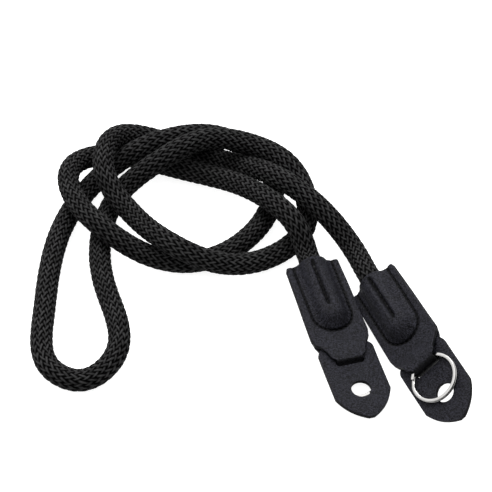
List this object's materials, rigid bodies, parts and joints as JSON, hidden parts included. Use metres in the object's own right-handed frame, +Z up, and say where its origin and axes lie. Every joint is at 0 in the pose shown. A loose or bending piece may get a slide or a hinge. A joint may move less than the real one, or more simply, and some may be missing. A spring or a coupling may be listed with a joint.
{
  "type": "camera neck strap",
  "caption": "Round braided rope strap for a camera, with a stitched leather tab, a pointed leather pad and a split ring at each end, lying in loops.",
  "frame": {"origin": "on the surface the strap lies on, below the middle of the box around its two leather ends", "axes": "+Z up; +X to the right and +Y away from someone who stands at the leather ends; the rope's loops lie to the far left"},
  "size_m": [0.1527, 0.134, 0.0226],
  "materials": {
    "black_rope": "matt black cotton, round braid with a herringbone surface",
    "black_leather": "matt black leather with a fine grain and black stitching",
    "nickel": "bright nickel plate"
  },
  "bodies": {
    "root": {"rope": "black_rope", "left_tab": "black_leather", "right_tab": "black_leather", "left_pad": "black_leather", "right_pad": "black_leather", "left_split_ring": "nickel", "right_split_ring": "nickel"}
  },
  "joints": []
}
